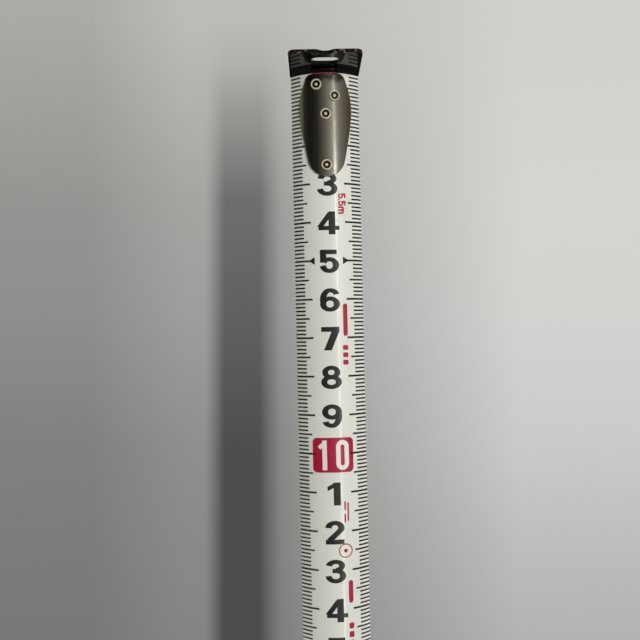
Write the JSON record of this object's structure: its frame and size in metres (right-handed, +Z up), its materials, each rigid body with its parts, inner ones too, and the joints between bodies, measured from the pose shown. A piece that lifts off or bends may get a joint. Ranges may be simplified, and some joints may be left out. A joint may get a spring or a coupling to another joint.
{
  "type": "tape measure",
  "caption": "Pocket tape measure: curved steel blade with riveted end hook, spring return reel, thumb lock, two-shell case with rubber grips, belt clip and strap pin.",
  "frame": {"origin": "in the plane the case stands on, straight below the reel's axis, at mid width", "axes": "+X the way the blade runs out, +Y the belt-clip side (reel axis), +Z up"},
  "size_m": [0.2493, 0.0364, 0.0686],
  "materials": {
    "shell": "fine moulded texture",
    "rubber": "soft, ribbed",
    "badge_metal": "spun, satin",
    "wear_plastic": "plain",
    "screw_steel": "zinc plated",
    "clip_steel": "brushed, nickel plated",
    "white_nylon": "natural nylon",
    "fibre": "pressed fibre",
    "lock_plastic": "satin crimson",
    "brake_rubber": "plain",
    "drum_plastic": "natural",
    "blade_paint": "satin off-white coat with black and crimson scale",
    "spring_steel": "blued",
    "plate_steel": "polished dark nickel",
    "rivet_metal": "polished, nickel tinted",
    "hook_steel": "black lacquer, glossy"
  },
  "bodies": {
    "case": {"case_shell_right": "shell", "case_shell_left": "shell", "grip_right": "rubber", "grip_left": "rubber", "grip_band": "rubber", "badge": "badge_metal", "base_shoe": "wear_plastic", "case_screws": "screw_steel", "belt_clip": "clip_steel", "clip_screw": "screw_steel", "strap_pin": "clip_steel", "reel_post": "white_nylon", "side_disc_right": "fibre", "side_disc_left": "fibre", "mouth_guide": "wear_plastic", "hook_bumper": "rubber", "lock_spring": "spring_steel"},
    "lock": {"lock_button": "lock_plastic", "lock_carrier": "lock_plastic", "brake_shoe": "brake_rubber"},
    "reel": {"reel_drum": "drum_plastic", "reel_cover": "drum_plastic", "blade_coil": "blade_paint", "power_spring": "spring_steel"},
    "blade": {"blade": "blade_paint", "backing_plate": "plate_steel", "rivets": "rivet_metal"},
    "hook": {"hook": "hook_steel"}
  },
  "joints": [
    {"name": "lock_slide", "type": "slide", "parent": "case", "child": "lock", "axis": [-0.1908, 0, 0.9816], "range_m": [0, 0.005]},
    {"name": "blade_slide", "type": "slide", "parent": "case", "child": "blade", "axis": [1, 0, 0], "range_m": [-0.176, 0], "deforming": ["blade"]},
    {"name": "reel_spin", "type": "hinge", "parent": "case", "child": "reel", "pos_m": [0, 0, 0.03724], "axis": [0, 1, 0], "range_deg": [0, 404], "deforming": ["power_spring"]},
    {"name": "hook_float", "type": "slide", "parent": "blade", "child": "hook", "axis": [1, 0, 0], "range_m": [-0.00045, 0.00045]}
  ],
  "couplings": [
    {"joint": "reel_spin", "follows": "blade_slide", "rad_per_m": -39.885}
  ]
}
